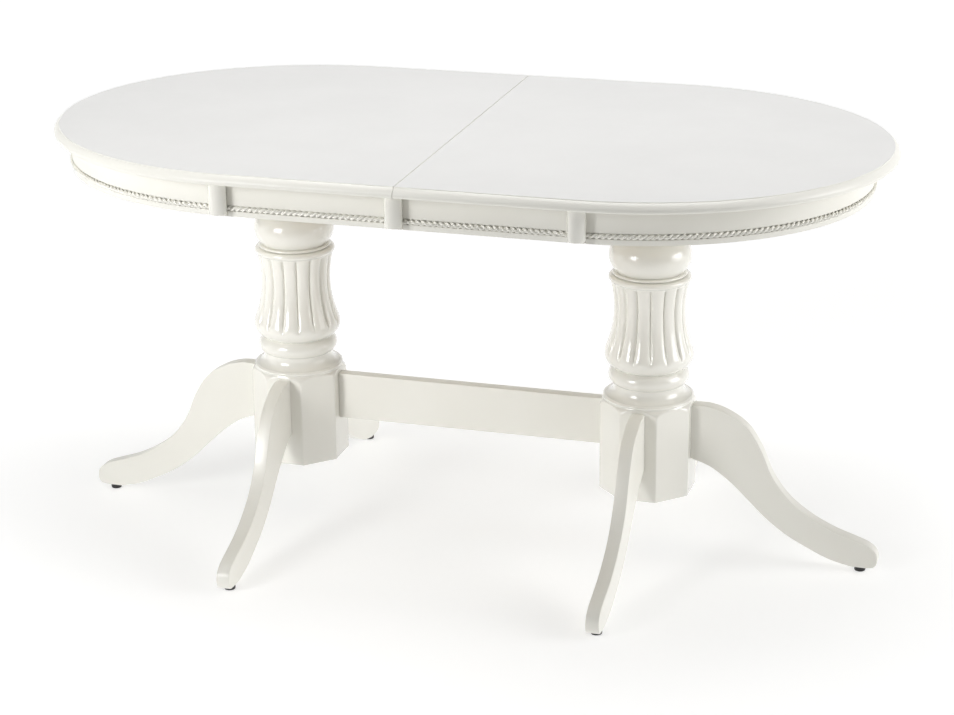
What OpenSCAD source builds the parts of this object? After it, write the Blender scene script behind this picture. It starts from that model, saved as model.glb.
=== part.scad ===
// Extendable dining table: two turned pedestals, each with three curved legs, carry wooden
// slides. The top is cut in two halves that slide apart, kept even by a pair of pinions, and a
// folded leaf waits between the slides. X runs along the table, Y across it, Z is up, and the
// origin is on the floor under the middle. The table is drawn closed.

/* [Top] */
// Length of the closed table
top_length = 1500; // [1400:10:1600]
// Width of the table
top_width = 820; // [780:10:900]
// Height of the table
table_height = 760; // [740:5:780]
// Thickness of the top
top_thick = 18; // [16:1:25]
// Length of the straight part of each long side, from the seam
straight_half = 298; // [280:1:310]
// How far each half slides out
travel = 200; // [100:10:200]

/* [Apron] */
// Height of the apron below the top
apron_h = 61.5; // [58:0.5:70]
// Thickness of the apron
apron_thick = 20; // [16:1:22]
// How far the apron stands back from the top's edge
apron_back = 34.5; // [30:0.5:40]
// How far the aprons and posts are set off centre, to the left
frame_shift = 6.5; // [0:0.5:8]
// Radius of the posts
post_r = 15; // [12:0.5:16]
// How far each post's axis stands in front of the apron
post_out = 11; // [0:1:12]

/* [Pedestals] */
// Distance of each column from the middle
column_x = 330; // [320:1:340]
// Width of the octagonal block across its flats
block_w = 160; // [150:1:170]
// Height of the block's underside above the floor
block_bottom = 120; // [110:1:130]
// Number of reeds round the vase
reed_count = 16; // [12:1:20]
// Thickness of each leg
leg_thick = 24; // [20:1:26]
// Distance of the end legs' glides from the column
end_reach = 386; // [380:1:390]
// Distance of the side legs' glides from the column
side_reach = 370; // [364:1:376]
// Height of the stretcher board
stretcher_h = 86; // [70:1:90]
// Thickness of the stretcher board
stretcher_thick = 22; // [18:1:26]

/* [Slides] */
// Distance of each slide from the middle line
slide_y = 250; // [250:1:252]
// Module of the pinion and rack teeth
gear_module = 2; // [2]
// Teeth on each pinion
pinion_teeth = 16; // [16]

/* [Hidden] */
$fn = 64;
eps = 0.01;
run_gap = 0.3;        // between flat faces that slide past each other
bolt_gap = 0.1;       // round a bolt or screw in its hole
screw_head = 3;
white = [0.93, 0.93, 0.91];
raw_wood = [0.78, 0.63, 0.44];
steel = [0.70, 0.71, 0.72];
black = [0.06, 0.06, 0.06];

// Heights, from the top down
top_under = table_height - top_thick;
apron_bottom = top_under - apron_h;
rail_bottom = apron_bottom + 10;
bearer_thick = 22;
bearer_bottom = rail_bottom - bearer_thick;
plate_thick = 20;
plate_bottom = bearer_bottom - plate_thick;
runner_bottom = rail_bottom + 12;

// The top and its edge
seam_gap = 0.8;
edge_inset = 10;      // rounding of the top's upper edge, inwards
edge_drop = 9;        // and downwards
under_inset = 3;      // rounding of its lower edge
edge_levels = [0, 1.5, 3, 9, 12, 14.5, 16.5, 18];
dowel_r = 5;
dowel_reach = 15;
dowel_y = [-300, 0, 300];

// The apron and its moulding
face_y = apron_back - top_width / 2;   // the front apron's face
post_x = 304.5;
post_bottom = apron_bottom + 7.5;
rope_r = 4.8;
rope_in = 1;          // from the apron's face in to the rope's axis
rope_z = apron_bottom + 14.5;
rope_past_post = sqrt(pow(post_r, 2) - pow(post_out - rope_r + rope_in, 2)) + run_gap;
channel_depth = 3;
channel_half = rope_r + 0.6;

// The block, its legs and its stretcher
block_half = block_w / 2;
block_side_r = block_half / cos(180 / 8);
shoulder_z = 290;
vase_foot = 350;
vase_top = 507;
tenon_r = 30;
groove_w = 2.6;       // grooves between the reeds
groove_cut = 3.4;
groove_foot = 372;
right_reed_turn = 14.5;
cavity_half = 42;
cavity_top = 266;
glide_h = 9;
glide_r = 10;
stretcher_z = 195;
leg_bolt_z = [212, 256];
stretcher_bolt_z = [218, 258];
bolt_r = 4;
bolt_bite = 38;
nut_r = 7.5;
nut_h = 6.5;
nail_r = 1.5;
nail_top = 30;
plate_r = 90;

// The slides, measured from each slide's middle line
rail_half = 13;
rail_reach = 400;
groove_depth = 8;
groove_h = 11;
runner_w = 24;
runner_reach = 520;
runner_past = 220;    // how far a runner reaches past the seam
runner_mid = rail_half + run_gap + runner_w / 2;
groove_z = 719;
pitch_r = gear_module * pinion_teeth / 2;
tooth_pitch = PI * gear_module;
addendum = 0.9 * gear_module;
dedendum = 1.2 * gear_module;
pressure = 20;
backlash = 0.4;
rack_bottom = rail_bottom + 1.5;
rack_back = 30;
rack_mid = 24.2;
pinion_bottom = rail_bottom + 1;
pinion_h = 10.5;
pin_r = 3;

// The folded leaf
leaf_thick = 18;
leaf_x = 2 * travel;
leaf_y = top_width / 2;
leaf_bottom = runner_bottom + 0.5;
leaf_gap = 0.5;
leaf_edge = 204;      // where the folded halves are hinged

// The latches
latch_y = 323;
latch_x = -14;
latch_reach = 26;
latch_top = top_under - 2;
catch_r = 2.5;
notch_r = 3;

// ---- Curves ----

// Points on the arc from p to r that passes through q, without the last point
function arc3(p, q, r, n = 8) =
    let (d = 2 * (p.x * (q.y - r.y) + q.x * (r.y - p.y) + r.x * (p.y - q.y)))
    let (cx = ((p * p) * (q.y - r.y) + (q * q) * (r.y - p.y) + (r * r) * (p.y - q.y)) / d)
    let (cy = ((p * p) * (r.x - q.x) + (q * q) * (p.x - r.x) + (r * r) * (q.x - p.x)) / d)
    let (rad = norm(p - [cx, cy]))
    let (a = atan2(p.y - cy, p.x - cx))
    let (sweep = turn(atan2(r.y - cy, r.x - cx) - a, d < 0 ? -1 : 1))
    [for (i = [0 : n - 1]) [cx, cy] + rad * [cos(a + sweep * i / n), sin(a + sweep * i / n)]];

// The angle a as a turn in the given direction, below one full turn
function turn(a, sense) = sense > 0 ? (a < 0 ? a + 360 : a) : (a > 0 ? a - 360 : a);

// A smooth curve through the points, without the last point
function smooth(points, n = 5) = [
    for (i = [0 : len(points) - 2])
        let (p0 = points[max(i - 1, 0)])
        let (p1 = points[i])
        let (p2 = points[i + 1])
        let (p3 = points[min(i + 2, len(points) - 1)])
        for (k = [0 : n - 1])
            let (t = k / n)
            0.5 * (2 * p1 + (p2 - p0) * t + (2 * p0 - 5 * p1 + 4 * p2 - p3) * t * t
                + (3 * p1 - p0 - 3 * p2 + p3) * t * t * t)
];

// The curved end of the left half's outline, drawn in by inset; it is closed along
// x = -straight_half
function end_outline(inset, n = 72) =
    let (reach = top_length / 2 - straight_half - inset)
    let (half_w = top_width / 2 - inset)
    [for (i = [0 : n])
        let (a = 90 + 180 * i / n)
        [-straight_half + reach * cos(a), half_w * sin(a)]];

// The whole of the left half's outline, from the seam
function half_outline(inset) =
    let (half_w = top_width / 2 - inset)
    concat([[-seam_gap / 2, -half_w], [-seam_gap / 2, half_w]], end_outline(inset));

// ---- Helpers ----

// Both the part as drawn and its copy on the other side of the plane with this normal
module both(normal) {
    children();
    mirror(normal) children();
}

module box(x, y, z) {
    translate([x[0], y[0], z[0]]) cube([x[1] - x[0], y[1] - y[0], z[1] - z[0]]);
}

// A wood screw that points up from z, with its head below
module screw_up(z, length, r = 2.5) {
    translate([0, 0, z - 1]) cylinder(r = r, h = length + 1);
    translate([0, 0, z - screw_head]) cylinder(r = 2 * r, h = screw_head);
}

// A hole for such a screw
module screw_hole(z, length, r = 2.5) {
    translate([0, 0, z]) cylinder(r = r + bolt_gap, h = length);
}

// ---- Pedestals ----

// The reeded vase, as radius and height, drawn in by depth
function vase_outline(depth) = concat(
    arc3([63 - depth, vase_foot], [77.5 - depth, 366], [77 - depth, 382], 8),
    arc3([77 - depth, 382], [63 - depth, 449], [69 - depth, vase_top], 16)
);

// Everything turned that stands above the block's rounded shoulder
function turned_outline() = concat(
    [[0, shoulder_z - 2], [block_half, shoulder_z]],
    // rim and bell
    [[block_half + 0.5, 293.5], [block_half + 0.5, 295.5], [78, 297]],
    arc3([77.5, 298.5], [67, 303], [62.8, 318], 6),
    // lower bead
    arc3([63, 319.5], [71.5, 334], [63, 348.5], 10),
    vase_outline(0),
    // ring and the small bead over it
    arc3([68.5, vase_top + 1], [72.5, 513], [67, 519], 8),
    arc3([63.5, 519.5], [66, 522.5], [63.5, 524.8], 4),
    // ball, then the neck and seat for the plate
    arc3([60, 525], [72.5, 553], [60, 583], 14),
    [[54, 586], [54, 600], [60, 604], [60, plate_bottom],
     [tenon_r, plate_bottom], [tenon_r, bearer_bottom - 1], [0, bearer_bottom - 1]]
);

// The octagonal block, its corners rounded off below the turned part and at the floor end
module block() {
    intersection() {
        translate([0, 0, block_bottom]) rotate(180 / 8)
            cylinder(r = block_side_r, h = shoulder_z - block_bottom, $fn = 8);
        rotate_extrude() polygon([
            [0, block_bottom - 1], [block_side_r - 3, block_bottom - 1],
            [block_side_r + 1, block_bottom + 3], [block_side_r + 1, shoulder_z - 10],
            [84, shoulder_z - 4], [block_half, shoulder_z + 0.1], [0, shoulder_z + 0.1]
        ]);
    }
}

// A slot that follows the vase from just under the ring to below its widest place
module reed_groove() {
    outside = block_half + 10;
    rotate([90, 0, 0]) translate([0, 0, -groove_w / 2]) linear_extrude(groove_w)
        intersection() {
            polygon(concat(vase_outline(groove_cut),
                [[outside, vase_top], [outside, vase_foot]]));
            translate([0, groove_foot]) square([outside, vase_top - 1 - groove_foot]);
        }
}

// Bolt holes from the block's cavity out through the face at this angle
module block_bolt_holes(angle, heights) {
    rotate(angle) for (z = heights)
        translate([cavity_half - 4, 0, z]) rotate([0, 90, 0])
            cylinder(r = bolt_r + bolt_gap, h = block_half);
}

// A column with its stretcher side towards +X and its reeds turned by phase
module column(phase) {
    difference() {
        union() {
            block();
            rotate_extrude() polygon(turned_outline());
        }
        translate([-cavity_half, -cavity_half, block_bottom - 1])
            cube([2 * cavity_half, 2 * cavity_half, cavity_top - block_bottom + 1]);
        for (i = [0 : reed_count - 1])
            rotate(phase + 360 / reed_count * i) reed_groove();
        for (a = [90, 180, 270]) block_bolt_holes(a, leg_bolt_z);
        block_bolt_holes(0, stretcher_bolt_z);
    }
}

module left_column() {
    color(white) translate([-column_x, 0, 0]) column(0);
}

module right_column() {
    color(white) translate([column_x, 0, 0]) rotate(180) column(right_reed_turn);
}

// The side view of a leg whose glide stands end_reach from the column's axis
leg_back = [[70, 284], [110, 285], [145, 275], [180, 252], [206, 213], [226, 167], [255, 127],
    [293, 97], [335, 75], [375, 62], [400, 51], [413, 36], [417, 24], [411, 13], [399, 9]];
leg_belly = [[370, 9], [330, 19], [290, 37], [250, 59], [215, 86], [182, 118], [152, 146],
    [122, 168], [100, 178], [70, 186]];

// A leg along +X from its column's axis
module leg(reach) {
    difference() {
        intersection() {
            translate([reach - end_reach, leg_thick / 2, 0]) rotate([90, 0, 0])
                linear_extrude(leg_thick)
                    polygon(concat(smooth(leg_back), [[399, glide_h]], smooth(leg_belly),
                        [[70, 186]]));
            translate([block_half, -leg_thick, 0]) cube([400, 2 * leg_thick, 400]);
        }
        for (z = leg_bolt_z)
            translate([block_half - 1, 0, z]) rotate([0, 90, 0])
                cylinder(r = bolt_r + bolt_gap, h = bolt_bite + 2);
        translate([reach, 0, glide_h - 1])
            cylinder(r = nail_r + bolt_gap, h = nail_top - glide_h + 2);
    }
}

module left_front_leg() {
    color(white) translate([-column_x, 0, 0]) rotate(-90) leg(side_reach);
}

module left_back_leg() {
    color(white) translate([-column_x, 0, 0]) rotate(90) leg(side_reach);
}

module left_end_leg() {
    color(white) translate([-column_x, 0, 0]) rotate(180) leg(end_reach);
}

module right_front_leg() {
    color(white) translate([column_x, 0, 0]) rotate(-90) leg(side_reach);
}

module right_back_leg() {
    color(white) translate([column_x, 0, 0]) rotate(90) leg(side_reach);
}

module right_end_leg() {
    color(white) translate([column_x, 0, 0]) leg(end_reach);
}

module stretcher() {
    half_l = column_x - block_half;
    color(white) difference() {
        box([-half_l, half_l], [-stretcher_thick / 2, stretcher_thick / 2],
            [stretcher_z, stretcher_z + stretcher_h]);
        both([1, 0, 0]) for (z = stretcher_bolt_z)
            translate([half_l - bolt_bite - 1, 0, z]) rotate([0, 90, 0])
                cylinder(r = bolt_r + bolt_gap, h = bolt_bite + 2);
    }
}

// Puts its children at the foot of every leg
module at_feet() {
    both([1, 0, 0]) translate([column_x, 0, 0]) {
        translate([end_reach, 0, 0]) children();
        for (side = [-1, 1]) translate([0, side * side_reach, 0]) children();
    }
}

module floor_glides() {
    color(black) at_feet() difference() {
        rotate_extrude() polygon([[0, 0], [glide_r - 2, 0], [glide_r - 0.6, 0.6],
            [glide_r, 2], [glide_r, glide_h], [0, glide_h]]);
        translate([0, 0, 1]) cylinder(r = 2 * nail_r + bolt_gap, h = 1.6 + bolt_gap);
        translate([0, 0, 1]) cylinder(r = nail_r + bolt_gap, h = glide_h);
    }
}

module glide_nails() {
    color(steel) at_feet() {
        translate([0, 0, 1.1]) cylinder(r = 2 * nail_r, h = 1.5);
        translate([0, 0, 1.1]) cylinder(r = nail_r, h = nail_top - 1.1);
    }
}

// Puts its children on the line of every bolt in both blocks, pointing outwards along +X
module at_bolts() {
    both([1, 0, 0]) translate([column_x, 0, 0]) {
        for (a = [-90, 0, 90]) rotate(a) for (z = leg_bolt_z) translate([0, 0, z]) children();
        rotate(180) for (z = stretcher_bolt_z) translate([0, 0, z]) children();
    }
}

module frame_bolts() {
    color(steel) at_bolts() translate([cavity_half - 9, 0, 0]) rotate([0, 90, 0])
        cylinder(r = bolt_r, h = block_half + bolt_bite - cavity_half + 9);
}

module frame_nuts() {
    color(steel) at_bolts() translate([cavity_half - nut_h, 0, 0]) rotate([0, 90, 0])
        difference() {
            cylinder(r = nut_r, h = nut_h - 0.1, $fn = 6);
            translate([0, 0, -1]) cylinder(r = bolt_r + bolt_gap, h = nut_h + 2);
        }
}

// ---- The frame over the pedestals ----

// Puts its children at the four screws of one top plate
module at_plate_screws() {
    for (sx = [-1, 1]) for (sy = [-1, 1]) translate([28 * sx, 62 * sy, 0]) children();
}

module top_plate() {
    difference() {
        translate([0, 0, plate_bottom]) cylinder(r = plate_r, h = plate_thick);
        translate([0, 0, plate_bottom - 1])
            cylinder(r = tenon_r + bolt_gap, h = plate_thick + 2);
        at_plate_screws() screw_hole(plate_bottom - 1, plate_thick + 2);
    }
}

module left_top_plate() {
    color(white) translate([-column_x, 0, 0]) top_plate();
}

module right_top_plate() {
    color(white) translate([column_x, 0, 0]) top_plate();
}

module plate_screws() {
    color(steel) both([1, 0, 0]) translate([column_x, 0, 0])
        at_plate_screws() screw_up(plate_bottom, plate_thick + bearer_thick - 6);
}

module bearer() {
    difference() {
        box([-40, 40], [-300, 300], [bearer_bottom, rail_bottom]);
        at_plate_screws() screw_hole(bearer_bottom - 1, bearer_thick - 4);
        for (side = [-1, 1]) translate([0, side * slide_y, 0])
            screw_hole(bearer_bottom - 1, bearer_thick + 2);
    }
}

module left_bearer() {
    color(white) translate([-column_x, 0, 0]) bearer();
}

module right_bearer() {
    color(white) translate([column_x, 0, 0]) bearer();
}

module rail() {
    difference() {
        box([-rail_reach, rail_reach], [-rail_half, rail_half], [rail_bottom, top_under - 2]);
        both([0, 1, 0]) box([-rail_reach - 1, rail_reach + 1],
            [rail_half - groove_depth, rail_half + 1],
            [groove_z - groove_h / 2, groove_z + groove_h / 2]);
        box([-22, 22], [-rail_half - 1, rail_half + 1], [rail_bottom - 1, runner_bottom + 0.5]);
        translate([0, 0, runner_bottom]) cylinder(r = pin_r + bolt_gap, h = 13);
        for (side = [-1, 1]) translate([side * column_x, 0, 0])
            screw_hole(rail_bottom - 1, 22);
    }
}

module front_rail() {
    color(raw_wood) translate([0, -slide_y, 0]) rail();
}

module back_rail() {
    color(raw_wood) translate([0, slide_y, 0]) rail();
}

module rail_screws() {
    color(steel) both([1, 0, 0]) both([0, 1, 0])
        translate([column_x, slide_y, 0]) screw_up(bearer_bottom, bearer_thick + 20);
}

// Shoulder screws that the pinions turn on
module pinion_pins() {
    color(steel) both([0, 1, 0]) translate([0, slide_y, 0]) {
        translate([0, 0, pinion_bottom - 3.5]) cylinder(r = 2 * pin_r, h = 3);
        translate([0, 0, pinion_bottom - 3.5])
            cylinder(r = pin_r, h = runner_bottom + 12 - pinion_bottom + 3.5);
    }
}

// ---- The stored leaf ----

module leaf_half(z) {
    box([-leaf_x / 2, leaf_x / 2], [leaf_edge - leaf_y, leaf_edge], [z, z + leaf_thick]);
}

module leaf_lower() {
    color(white) leaf_half(leaf_bottom);
}

module leaf_upper() {
    color(white) leaf_half(leaf_bottom + leaf_thick + leaf_gap);
}

// Butt hinges along the fold
module leaf_hinges() {
    fold_z = leaf_bottom + leaf_thick + leaf_gap / 2;
    color(steel) for (x = [-120, 120]) {
        box([x - 25, x + 25], [leaf_edge, leaf_edge + 1.2], [fold_z - 13, fold_z + 13]);
        translate([x - 25, leaf_edge + 2.4, fold_z]) rotate([0, 90, 0])
            cylinder(r = 2.2, h = 50);
    }
}

module leaf_battens() {
    color(raw_wood) for (y = [-120, 120])
        box([-column_x - 40, column_x + 40], [y - 20, y + 20], [rail_bottom, runner_bottom]);
}

// ---- The halves of the top, drawn as the left one ----

// How far the edge stands in at height h above the underside
function edge_in(h) =
    h < under_inset ? under_inset * (1 - sin(acos(1 - h / under_inset)))
    : h < top_thick - edge_drop ? 0
    : edge_inset * (1 - sqrt(1 - pow((h - top_thick + edge_drop) / edge_drop, 2)));

module half_top(hole_r, hole_depth, runner_side, shift) {
    difference() {
        for (i = [0 : len(edge_levels) - 2])
            let (low = edge_levels[i] * top_thick / 18)
            let (high = edge_levels[i + 1] * top_thick / 18)
            let (inset = edge_in((low + high) / 2))
            translate([0, 0, top_under + low]) linear_extrude(high - low)
                polygon(half_outline(inset));
        for (y = dowel_y)
            translate([-hole_depth, y, top_under + top_thick / 2]) rotate([0, 90, 0])
                cylinder(r = hole_r, h = hole_depth + 1);
        at_runner_screws(runner_side) screw_hole(top_under - 1, 12);
        at_block_screws(shift) screw_hole(top_under - 1, 13);
    }
}

module left_top() {
    color(white) half_top(dowel_r + bolt_gap, dowel_reach + 0.5, 1, frame_shift);
}

module right_top() {
    color(white) mirror([1, 0, 0])
        half_top(dowel_r + run_gap, dowel_reach + 1, -1, -frame_shift);
}

// The front or back apron of a half, on its -Y side. Here and below, a half's frame is shifted
// outwards by shift.
module side_apron(shift) {
    end_x = -straight_half - shift;
    difference() {
        box([end_x, -seam_gap / 2], [face_y, face_y + apron_thick], [apron_bottom, top_under]);
        box([end_x - 1, 1], [face_y - 1, face_y + channel_depth],
            [rope_z - channel_half, rope_z + channel_half]);
    }
}

// A band round the curved end, between two distances outwards from the apron's face
module end_ring(outer, inner, z, h) {
    translate([0, 0, z]) linear_extrude(h) difference() {
        polygon(end_outline(apron_back - outer));
        polygon(end_outline(apron_back - inner));
        translate([-straight_half - eps, -top_width]) square([top_width, 2 * top_width]);
    }
}

module end_apron() {
    difference() {
        end_ring(0, -apron_thick, apron_bottom, apron_h);
        end_ring(5, -channel_depth, rope_z - channel_half, 2 * channel_half);
    }
}

// Puts a left half's frame pieces, or their mirror images, in their places
module on_left() {
    translate([-frame_shift, 0, 0]) children();
}

module on_right() {
    translate([-frame_shift, 0, 0]) mirror([1, 0, 0]) children();
}

module left_front_apron() {
    color(white) side_apron(frame_shift);
}

module left_back_apron() {
    color(white) mirror([0, 1, 0]) side_apron(frame_shift);
}

module left_end_apron() {
    color(white) on_left() end_apron();
}

module right_front_apron() {
    color(white) mirror([1, 0, 0]) side_apron(-frame_shift);
}

module right_back_apron() {
    color(white) rotate(180) side_apron(-frame_shift);
}

module right_end_apron() {
    color(white) on_right() end_apron();
}

// A round post in front of the front apron, its back cut flat against the apron's face
module post(x) {
    intersection() {
        translate([x, face_y - post_out, post_bottom])
            cylinder(r = post_r, h = top_under - post_bottom);
        box([x - post_r, x + post_r], [face_y - post_out - post_r, face_y],
            [post_bottom, top_under]);
    }
}

module left_posts() {
    color(white) on_left() both([0, 1, 0]) post(-post_x);
}

module right_posts() {
    color(white) on_left() both([0, 1, 0]) post(post_x);
}

// The posts that cover the seam: fixed to the left half, just clear of the right one
module seam_posts() {
    right_side = [-seam_gap / 2, post_r];
    post_front = face_y - post_out - post_r - 1;
    color(white) both([0, 1, 0]) difference() {
        on_left() post(0);
        box(right_side, [face_y - run_gap, face_y + 1], [apron_bottom, top_under]);
        box(right_side, [post_front, face_y + 1], [top_under - run_gap, top_under + 1]);
    }
}

// The rope moulding of a left half, as plain beads in their channel
module rope() {
    both([0, 1, 0]) intersection() {
        translate([-post_x + rope_past_post, face_y + rope_in, rope_z]) rotate([0, 90, 0])
            cylinder(r = rope_r, h = post_x - 2 * rope_past_post);
        box([-post_x, 0], [face_y - rope_r, face_y + channel_depth], [apron_bottom, top_under]);
    }
    intersection() {
        end_ring(rope_r - rope_in, -channel_depth, rope_z - rope_r, 2 * rope_r);
        box([-top_length, -post_x - rope_past_post], [-top_width, top_width],
            [0, table_height]);
    }
}

module left_rope() {
    color(white) on_left() rope();
}

module right_rope() {
    color(white) on_right() rope();
}

// ---- Slides ----

runner_screw_x = [-480, -300, -120];
rack_screw_x = [10, 110, 205];

// Puts its children at a left half's runner screws: side is 1 where the runners lie outside
// their rails and -1 where they lie inside
module at_runner_screws(side) {
    for (x = runner_screw_x) both([0, 1, 0])
        translate([x, slide_y + side * runner_mid, 0]) children();
}

// A runner that lies on the +Y side of its rail and is fixed to the left half
module runner() {
    difference() {
        union() {
            box([-runner_reach, -seam_gap], [rail_half + run_gap, rail_half + run_gap + runner_w],
                [runner_bottom, top_under]);
            box([-seam_gap - 1, runner_past],
                [rail_half + run_gap, rail_half + run_gap + runner_w],
                [runner_bottom, top_under - 2 * run_gap]);
            box([-runner_reach, runner_past], [rail_half - groove_depth + 1, rail_half + 1],
                [groove_z - groove_h / 2 + run_gap, groove_z + groove_h / 2 - run_gap]);
        }
        for (x = runner_screw_x) translate([x, runner_mid, 0])
            screw_hole(runner_bottom - 1, top_under - runner_bottom + 2);
        for (x = rack_screw_x) translate([x, rack_mid, 0])
            screw_hole(runner_bottom - 1, 12, 1.5);
    }
}

// The four runners and racks, each made from the one on a rail's +Y side
module on_front_left() {
    translate([0, -slide_y, 0]) mirror([0, 1, 0]) children();
}

module on_front_right() {
    translate([0, -slide_y, 0]) mirror([1, 0, 0]) children();
}

module front_left_runner() {
    color(raw_wood) on_front_left() runner();
}

module back_left_runner() {
    color(raw_wood) mirror([0, 1, 0]) on_front_left() runner();
}

module front_right_runner() {
    color(raw_wood) on_front_right() runner();
}

module back_right_runner() {
    color(raw_wood) mirror([0, 1, 0]) on_front_right() runner();
}

// A rack under a runner, its teeth towards the rail's middle line and a gap at x = 0
module rack() {
    tip = tooth_pitch / 4 - backlash / 4 - addendum * tan(pressure);
    root = tooth_pitch / 4 - backlash / 4 + dedendum * tan(pressure);
    first = -3;
    last = 33;
    difference() {
        translate([0, 0, rack_bottom]) linear_extrude(runner_bottom - rack_bottom)
            polygon(concat(
                [[first * tooth_pitch, rack_back], [first * tooth_pitch, pitch_r + dedendum]],
                [for (k = [first : last])
                    for (p = [[-root, dedendum], [-tip, -addendum],
                              [tip, -addendum], [root, dedendum]])
                        [(k + 0.5) * tooth_pitch + p.x, pitch_r + p.y]],
                [[(last + 1) * tooth_pitch, pitch_r + dedendum],
                 [(last + 1) * tooth_pitch, rack_back]]
            ));
        for (x = rack_screw_x) translate([x, rack_mid, 0]) {
            screw_hole(rack_bottom - 1, 14, 1.5);
            translate([0, 0, rack_bottom - 1]) cylinder(r = 3 + bolt_gap, h = 3.1);
        }
    }
}

module left_racks() {
    color(steel) both([0, 1, 0]) on_front_left() rack();
}

module right_racks() {
    color(steel) both([0, 1, 0]) on_front_right() rack();
}

// An involute gear, with a tooth centred on +Y
module pinion() {
    base_r = pitch_r * cos(pressure);
    tip_r = pitch_r + addendum;
    root_r = pitch_r - dedendum;
    half_tooth = (PI / 2 - backlash / (2 * gear_module)) / pinion_teeth * 180 / PI;
    start = max(base_r, root_r);
    difference() {
        translate([0, 0, pinion_bottom]) linear_extrude(pinion_h) polygon([
            for (i = [0 : pinion_teeth - 1])
                let (mid = 90 + 360 / pinion_teeth * i)
                let (flank = [for (k = [0 : 4]) start + (tip_r - start) * k / 4])
                let (root_a = half_tooth + involute(pitch_r, base_r) - involute(start, base_r))
                for (p = concat(
                    [[root_r, -root_a]],
                    [for (r = flank) [r, involute(r, base_r) - involute(pitch_r, base_r)
                        - half_tooth]],
                    [for (k = [4 : -1 : 0]) [flank[k], half_tooth + involute(pitch_r, base_r)
                        - involute(flank[k], base_r)]],
                    [[root_r, root_a]]
                )) p[0] * [cos(mid + p[1]), sin(mid + p[1])]
        ]);
        translate([0, 0, pinion_bottom - 1]) cylinder(r = pin_r + 0.05, h = pinion_h + 2);
    }
}

// How far round, in degrees, the involute of a base circle has turned at radius r
function involute(r, base_r) =
    let (t = sqrt(max(pow(r / base_r, 2) - 1, 0))) t * 180 / PI - atan(t);

module front_pinion() {
    color(steel) translate([0, -slide_y, 0]) pinion();
}

module back_pinion() {
    color(steel) translate([0, slide_y, 0]) pinion();
}

// ---- Glue blocks and screws ----

block_x = [-90, -220];
block_angles = [114, 150, 180, 210, 246];
block_h = 30;

// Puts its children at every glue block of a left half, with +X pointing outwards
module at_blocks(shift) {
    inner_y = top_width / 2 - apron_back - apron_thick;
    inner_end = top_length / 2 - straight_half - apron_back - apron_thick;
    for (x = block_x) for (side = [-1, 1])
        translate([x, side * inner_y, 0]) rotate(90 * side) children();
    for (a = block_angles)
        translate([-straight_half - shift + inner_end * cos(a), inner_y * sin(a), 0])
            rotate(atan2(sin(a) / inner_y, cos(a) / inner_end)) children();
}

module at_block_screws(shift) {
    at_blocks(shift) translate([-12, 0, 0]) children();
}

module glue_blocks(shift) {
    inner = apron_back + apron_thick;
    low = top_under - block_h;
    difference() {
        union() {
            for (x = block_x) both([0, 1, 0])
                translate([x - 20, top_width / 2 - inner - 22, low]) cube([40, 22, block_h]);
            intersection() {
                at_blocks(shift) box([-22, 6], [-20, 20], [low, top_under]);
                translate([-shift, 0, low]) linear_extrude(block_h) polygon(end_outline(inner));
            }
        }
        at_block_screws(shift) screw_hole(low - 1, block_h + 2);
    }
}

module left_glue_blocks() {
    color(raw_wood) glue_blocks(frame_shift);
}

module right_glue_blocks() {
    color(raw_wood) mirror([1, 0, 0]) glue_blocks(-frame_shift);
}

// A flush screw up through a rack into its runner
module rack_screw() {
    translate([0, 0, rack_bottom + 0.1]) cylinder(r = 3, h = 1.9);
    translate([0, 0, rack_bottom + 0.1]) cylinder(r = 1.5, h = 18);
}

module left_screws() {
    color(steel) {
        at_runner_screws(1) screw_up(runner_bottom, 50);
        at_block_screws(frame_shift) screw_up(top_under - block_h, block_h + 11);
        both([0, 1, 0]) on_front_left() for (x = rack_screw_x)
            translate([x, rack_mid, 0]) rack_screw();
    }
}

module right_screws() {
    color(steel) {
        mirror([1, 0, 0]) {
            at_runner_screws(-1) screw_up(runner_bottom, 50);
            at_block_screws(-frame_shift) screw_up(top_under - block_h, block_h + 11);
        }
        both([0, 1, 0]) on_front_right() for (x = rack_screw_x)
            translate([x, rack_mid, 0]) rack_screw();
    }
}

// ---- Seam ----

module seam_dowels() {
    color(raw_wood) for (y = dowel_y)
        translate([-dowel_reach, y, top_under + top_thick / 2]) rotate([0, 90, 0])
            cylinder(r = dowel_r, h = 2 * dowel_reach);
}

module latch_plates() {
    color(steel) both([0, 1, 0]) difference() {
        box([latch_x - 20, latch_x + 12], [-latch_y - 14, -latch_y + 14],
            [latch_top, top_under]);
        translate([latch_x, -latch_y, latch_top - 1]) cylinder(r = pin_r + bolt_gap, h = 4);
    }
}

module latch_pivots() {
    color(steel) both([0, 1, 0]) translate([latch_x, -latch_y, 0]) {
        translate([0, 0, latch_top - 12]) cylinder(r = pin_r + 2, h = 2.5);
        translate([0, 0, latch_top - 12]) cylinder(r = pin_r, h = 14 - eps);
    }
}

module catches() {
    color(steel) both([0, 1, 0]) {
        box([2, 26], [-latch_y - 12, -latch_y + 12], [latch_top, top_under]);
        translate([latch_x + latch_reach, -latch_y, latch_top - 10])
            cylinder(r = catch_r, h = 11);
    }
}

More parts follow.
